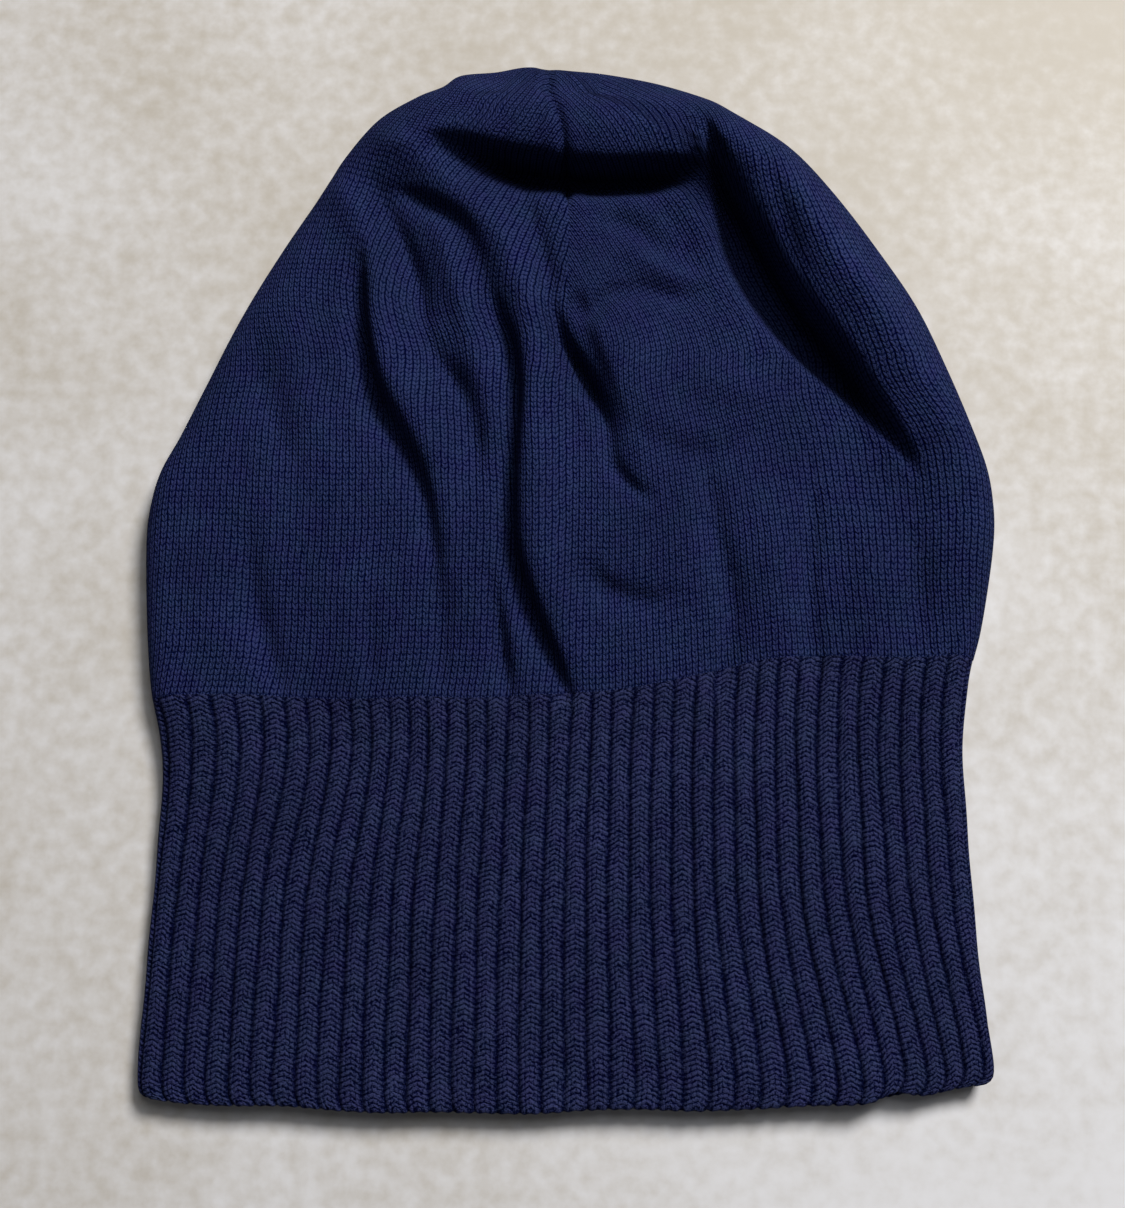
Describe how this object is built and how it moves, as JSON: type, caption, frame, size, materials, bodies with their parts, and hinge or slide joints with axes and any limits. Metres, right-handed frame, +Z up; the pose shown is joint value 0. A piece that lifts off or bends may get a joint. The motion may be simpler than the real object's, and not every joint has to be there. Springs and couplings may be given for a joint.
{
  "type": "knitted cap",
  "caption": "Fine-gauge knitted cap lying flat: plain jersey crown closed with darts, above a deep ribbed band with an open hem for the head.",
  "frame": {"origin": "centre of the bounding box on the table that the cap lies on", "axes": "+Z up from the table through the thickness, +Y from the hem towards the crown, +X across the front"},
  "size_m": [0.2462, 0.306, 0.0286],
  "materials": {
    "rib_wool": "fine wool knitted in a deep two by two rib, matt",
    "jersey_wool": "fine wool knitted in plain jersey, matt with a faint nap",
    "seam_thread": "overlocked wool seam allowance and its polyester thread, matt"
  },
  "bodies": {
    "root": {"hem_welt": "rib_wool", "rib_band": "rib_wool", "crown_body": "jersey_wool", "crown_front_right": "jersey_wool", "crown_back_right": "jersey_wool", "crown_back_left": "jersey_wool", "crown_front_left": "jersey_wool", "front_dart_seam": "seam_thread", "right_dart_seam": "seam_thread", "left_dart_seam": "seam_thread", "crown_back_seam": "seam_thread", "band_back_seam": "seam_thread", "apex_tack": "seam_thread"}
  },
  "joints": []
}
